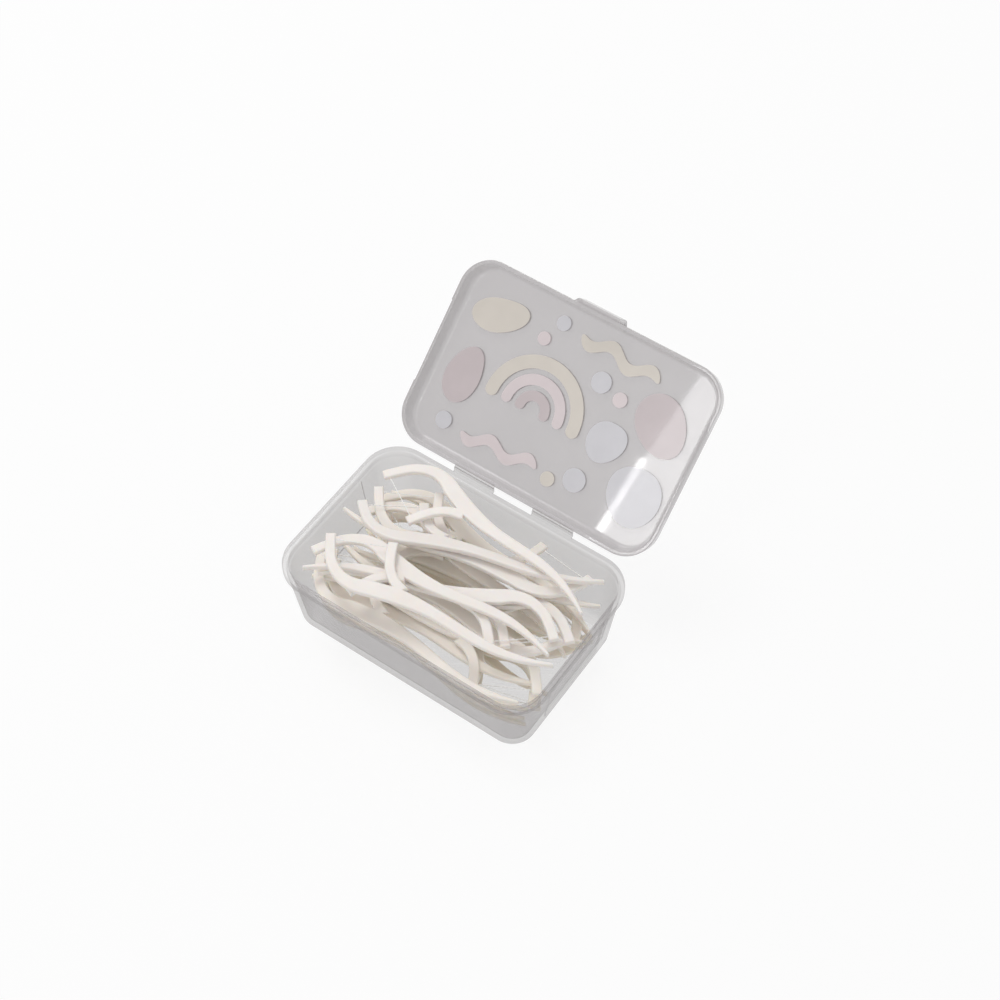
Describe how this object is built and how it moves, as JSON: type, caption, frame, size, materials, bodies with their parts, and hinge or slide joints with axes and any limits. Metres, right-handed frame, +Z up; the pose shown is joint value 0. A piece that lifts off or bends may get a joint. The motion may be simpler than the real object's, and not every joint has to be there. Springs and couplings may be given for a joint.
{
  "type": "floss pick box",
  "caption": "Hinged pocket box of frosted plastic, open, full of loose floss picks; the lid swings on two living hinges and snaps shut with a thumb tab.",
  "frame": {"origin": "middle of the tray's flat underside, on the surface that it stands on", "axes": "+Z up; X along the box; +Y towards the hinges and the open lid, so the catch is on the -Y side"},
  "size_m": [0.088, 0.1049, 0.0717],
  "materials": {
    "frosted_plastic": "translucent, frosted",
    "pick_plastic": "milky, satin",
    "floss_fibre": "waxed thread"
  },
  "bodies": {
    "box": {"tray": "frosted_plastic", "hinge_film_left": "frosted_plastic", "hinge_film_right": "frosted_plastic", "pick_01": "pick_plastic", "pick_02": "pick_plastic", "pick_03": "pick_plastic", "pick_04": "pick_plastic", "pick_05": "pick_plastic", "pick_06": "pick_plastic", "pick_07": "pick_plastic", "pick_08": "pick_plastic", "pick_09": "pick_plastic", "pick_10": "pick_plastic", "pick_11": "pick_plastic", "pick_12": "pick_plastic", "pick_13": "pick_plastic", "pick_14": "pick_plastic", "pick_15": "pick_plastic", "pick_16": "pick_plastic", "pick_17": "pick_plastic", "pick_18": "pick_plastic", "pick_19": "pick_plastic", "pick_20": "pick_plastic", "pick_21": "pick_plastic", "pick_22": "pick_plastic", "pick_23": "pick_plastic", "pick_24": "pick_plastic", "pick_25": "pick_plastic", "pick_26": "pick_plastic", "floss_01": "floss_fibre", "floss_02": "floss_fibre", "floss_03": "floss_fibre", "floss_04": "floss_fibre", "floss_05": "floss_fibre", "floss_06": "floss_fibre", "floss_07": "floss_fibre", "floss_08": "floss_fibre", "floss_09": "floss_fibre", "floss_10": "floss_fibre", "floss_11": "floss_fibre", "floss_12": "floss_fibre", "floss_13": "floss_fibre", "floss_14": "floss_fibre", "floss_15": "floss_fibre", "floss_16": "floss_fibre", "floss_17": "floss_fibre", "floss_18": "floss_fibre", "floss_19": "floss_fibre", "floss_20": "floss_fibre", "floss_21": "floss_fibre", "floss_22": "floss_fibre", "floss_23": "floss_fibre", "floss_24": "floss_fibre", "floss_25": "floss_fibre", "floss_26": "floss_fibre"},
    "lid": {"lid": "frosted_plastic"}
  },
  "joints": [
    {"name": "lid_hinge", "type": "hinge", "parent": "box", "child": "lid", "pos_m": [0, 0.02975, 0.0286], "axis": [-1, 0, 0], "range_deg": [-138.5, 41.5]}
  ]
}
